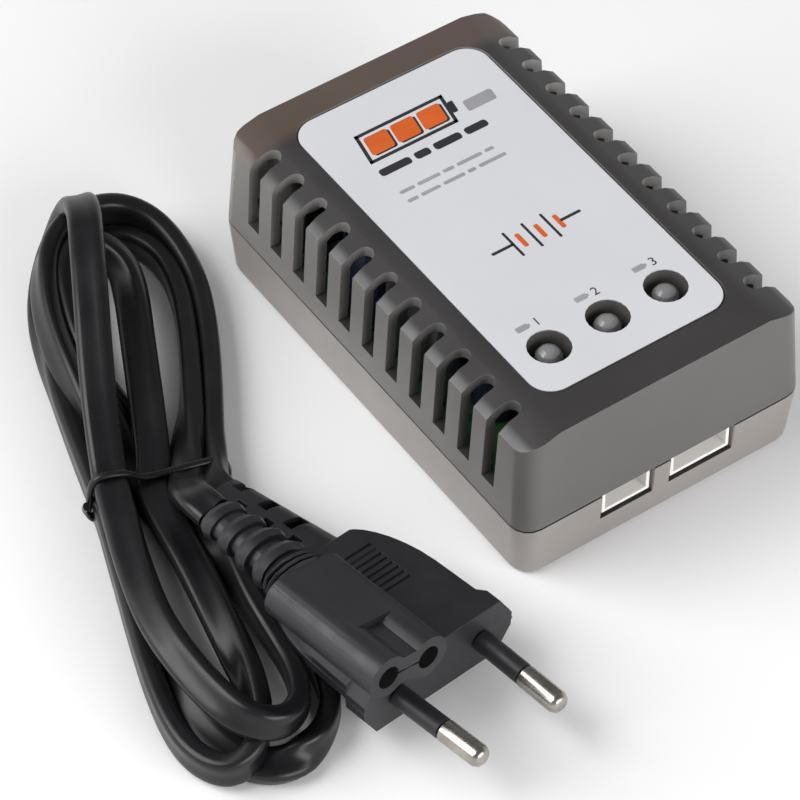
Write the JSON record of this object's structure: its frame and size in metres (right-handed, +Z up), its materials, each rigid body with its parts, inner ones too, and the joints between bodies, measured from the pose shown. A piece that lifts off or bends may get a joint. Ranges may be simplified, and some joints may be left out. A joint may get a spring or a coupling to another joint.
{
  "type": "battery_charger",
  "caption": "Compact smoke-grey mains balance charger for small battery packs, with vent slots, lamps, two white pack sockets and its flat twin mains lead tied in a hank",
  "frame": {"origin": "middle of the charger's underside, on the surface it stands on", "axes": "+Z up, +Y towards the mains inlet end, the pack sockets face -Y; the lead lies on the -X side"},
  "size_m": [0.1284, 0.1424, 0.0327],
  "materials": {
    "smoke_plastic": "smoke-grey translucent polycarbonate, satin outside",
    "label_film": "off-white printed polyester film, satin",
    "lamp_resin": "clear epoxy",
    "white_nylon": "natural white nylon",
    "black_plastic": "moulded black vinyl, satin",
    "black_rubber": "flexible black vinyl cord sheath",
    "nickel": "bright nickel plate",
    "contact_brass": "rolled brass",
    "screw_steel": "zinc plate",
    "bare_aluminium": "extruded, bare",
    "board_laminate": "green solder mask",
    "ferrite": "dull ferrite",
    "yellow_tape": "polyester tape",
    "capacitor_sleeve": "shrink sleeve",
    "blue_ceramic": "dipped lacquer"
  },
  "bodies": {
    "charger": {"top_cover": "smoke_plastic", "bottom_cover": "smoke_plastic", "front_label": "label_film", "led_1": "lamp_resin", "led_2": "lamp_resin", "led_3": "lamp_resin", "case_screw_1": "screw_steel", "case_screw_2": "screw_steel", "case_screw_3": "screw_steel", "case_screw_4": "screw_steel", "balance_socket_3pin": "white_nylon", "balance_socket_4pin": "white_nylon", "mains_inlet": "black_plastic", "inlet_pin_left": "nickel", "inlet_pin_right": "nickel", "circuit_board": "board_laminate", "transformer_core": "ferrite", "transformer_winding": "yellow_tape", "bulk_capacitor": "capacitor_sleeve", "heat_sink": "bare_aluminium", "switching_transistor": "black_plastic", "control_chip": "black_plastic", "optocoupler": "white_nylon", "output_rectifier": "black_plastic", "fuse": "white_nylon", "suppression_capacitor": "blue_ceramic", "socket_3pin_contact_1": "nickel", "socket_3pin_contact_2": "nickel", "socket_3pin_contact_3": "nickel", "socket_4pin_contact_1": "nickel", "socket_4pin_contact_2": "nickel", "socket_4pin_contact_3": "nickel", "socket_4pin_contact_4": "nickel", "output_capacitor_1": "capacitor_sleeve", "output_capacitor_2": "capacitor_sleeve", "output_capacitor_3": "capacitor_sleeve", "rectifier_diode_1": "black_plastic", "rectifier_diode_2": "black_plastic", "rectifier_diode_3": "black_plastic", "rectifier_diode_4": "black_plastic"},
    "mains_lead": {"cord_hank": "black_rubber", "cord_tie": "black_rubber", "connector_tail": "black_rubber", "plug_tail": "black_rubber", "connector_body": "black_plastic", "connector_contact_left": "contact_brass", "connector_contact_right": "contact_brass", "plug_body": "black_plastic", "plug_pin_sleeve_left": "black_plastic", "plug_pin_left": "nickel", "plug_pin_sleeve_right": "black_plastic", "plug_pin_right": "nickel"}
  },
  "joints": [
    {"name": "mains_lead_slide", "type": "slide", "parent": "charger", "child": "mains_lead", "axis": [-1, 0, 0], "range_m": [0, 0.05]}
  ]
}
